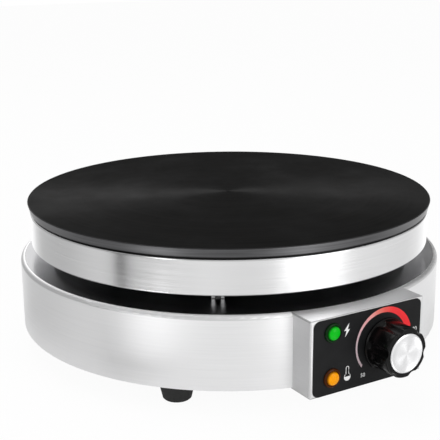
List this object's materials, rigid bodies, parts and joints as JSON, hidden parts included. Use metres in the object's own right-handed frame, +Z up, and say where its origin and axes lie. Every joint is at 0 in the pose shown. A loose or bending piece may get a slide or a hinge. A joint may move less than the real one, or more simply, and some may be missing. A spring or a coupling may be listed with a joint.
{
  "type": "electric crepe maker",
  "caption": "Round cast griddle plate on an insulated steel skirt, held by brackets above a round stainless base with a front control box, thermostat knob and pilot lamps.",
  "frame": {"origin": "centre of the whole footprint, on the surface that the feet rest on; the round base's axis is 12.55 mm behind it", "axes": "+Z up through the griddle plate, -Y towards the user at the control box, +X to the user's right"},
  "size_m": [0.4186, 0.4838, 0.142],
  "materials": {
    "cast_plate": "matt seasoned black",
    "element_sheath": "heat-darkened sheath",
    "hardware": "zinc-plated",
    "stainless": "brushed stainless",
    "top_steel": "bright-rolled stainless",
    "coated_steel": "aluminised sheet",
    "copper": "drawn copper tube",
    "ceramic": "unglazed porcelain",
    "mineral_wool": "pressed fibre board",
    "reflector": "bright foil",
    "label": "satin black overlay",
    "lens_green": "clear green moulding",
    "lens_amber": "clear amber moulding",
    "holder": "natural nylon",
    "phenolic": "phenolic moulding",
    "brass": "turned brass",
    "knob": "glossy black moulding",
    "knob_cap": "spun aluminium",
    "spring": "blued spring steel",
    "rubber": "matt black rubber",
    "gland": "black nylon",
    "lead": "braided glass-fibre sleeve"
  },
  "bodies": {
    "base": {"griddle_plate": "cast_plate", "heating_element_outer": "element_sheath", "heating_element_inner": "element_sheath", "element_clamps": "coated_steel", "plate_studs": "hardware", "clamp_nuts": "hardware", "stud_nuts": "hardware", "thermostat_bulb": "copper", "bulb_clip": "coated_steel", "capillary_tube": "copper", "thermal_cutout": "ceramic", "plate_screws": "hardware", "heat_reflector": "reflector", "insulation_disc": "mineral_wool", "pan_floor": "coated_steel", "upper_skirt": "stainless", "stand_offs": "stainless", "stand_off_screws": "hardware", "stand_off_nuts": "hardware", "wiring_conduit": "hardware", "conduit_nut": "hardware", "element_leads": "lead", "drum_top": "top_steel", "drum_shell": "stainless", "control_box": "stainless", "label_panel": "label", "power_lamp_lens": "lens_green", "heating_lamp_lens": "lens_amber", "lamp_holders": "holder", "lamp_clips": "spring", "thermostat_body": "phenolic", "thermostat_nut": "hardware", "terminal_block": "ceramic", "terminal_screws": "brass", "block_screws": "hardware", "cable_gland": "gland", "gland_locknut": "gland", "base_cover": "coated_steel", "cover_screws": "hardware", "foot_front_left": "rubber", "foot_front_right": "rubber", "foot_rear_left": "rubber", "foot_rear_right": "rubber", "foot_screws": "hardware", "foot_nuts": "hardware"},
    "knob": {"thermostat_spindle": "brass", "knob_grip": "knob", "knob_cap": "knob_cap", "knob_clip": "spring"}
  },
  "joints": [
    {"name": "thermostat_turn", "type": "hinge", "parent": "base", "child": "knob", "pos_m": [0.0181, -0.21335, 0.0525], "axis": [0, 1, 0], "range_deg": [0, 210]}
  ]
}
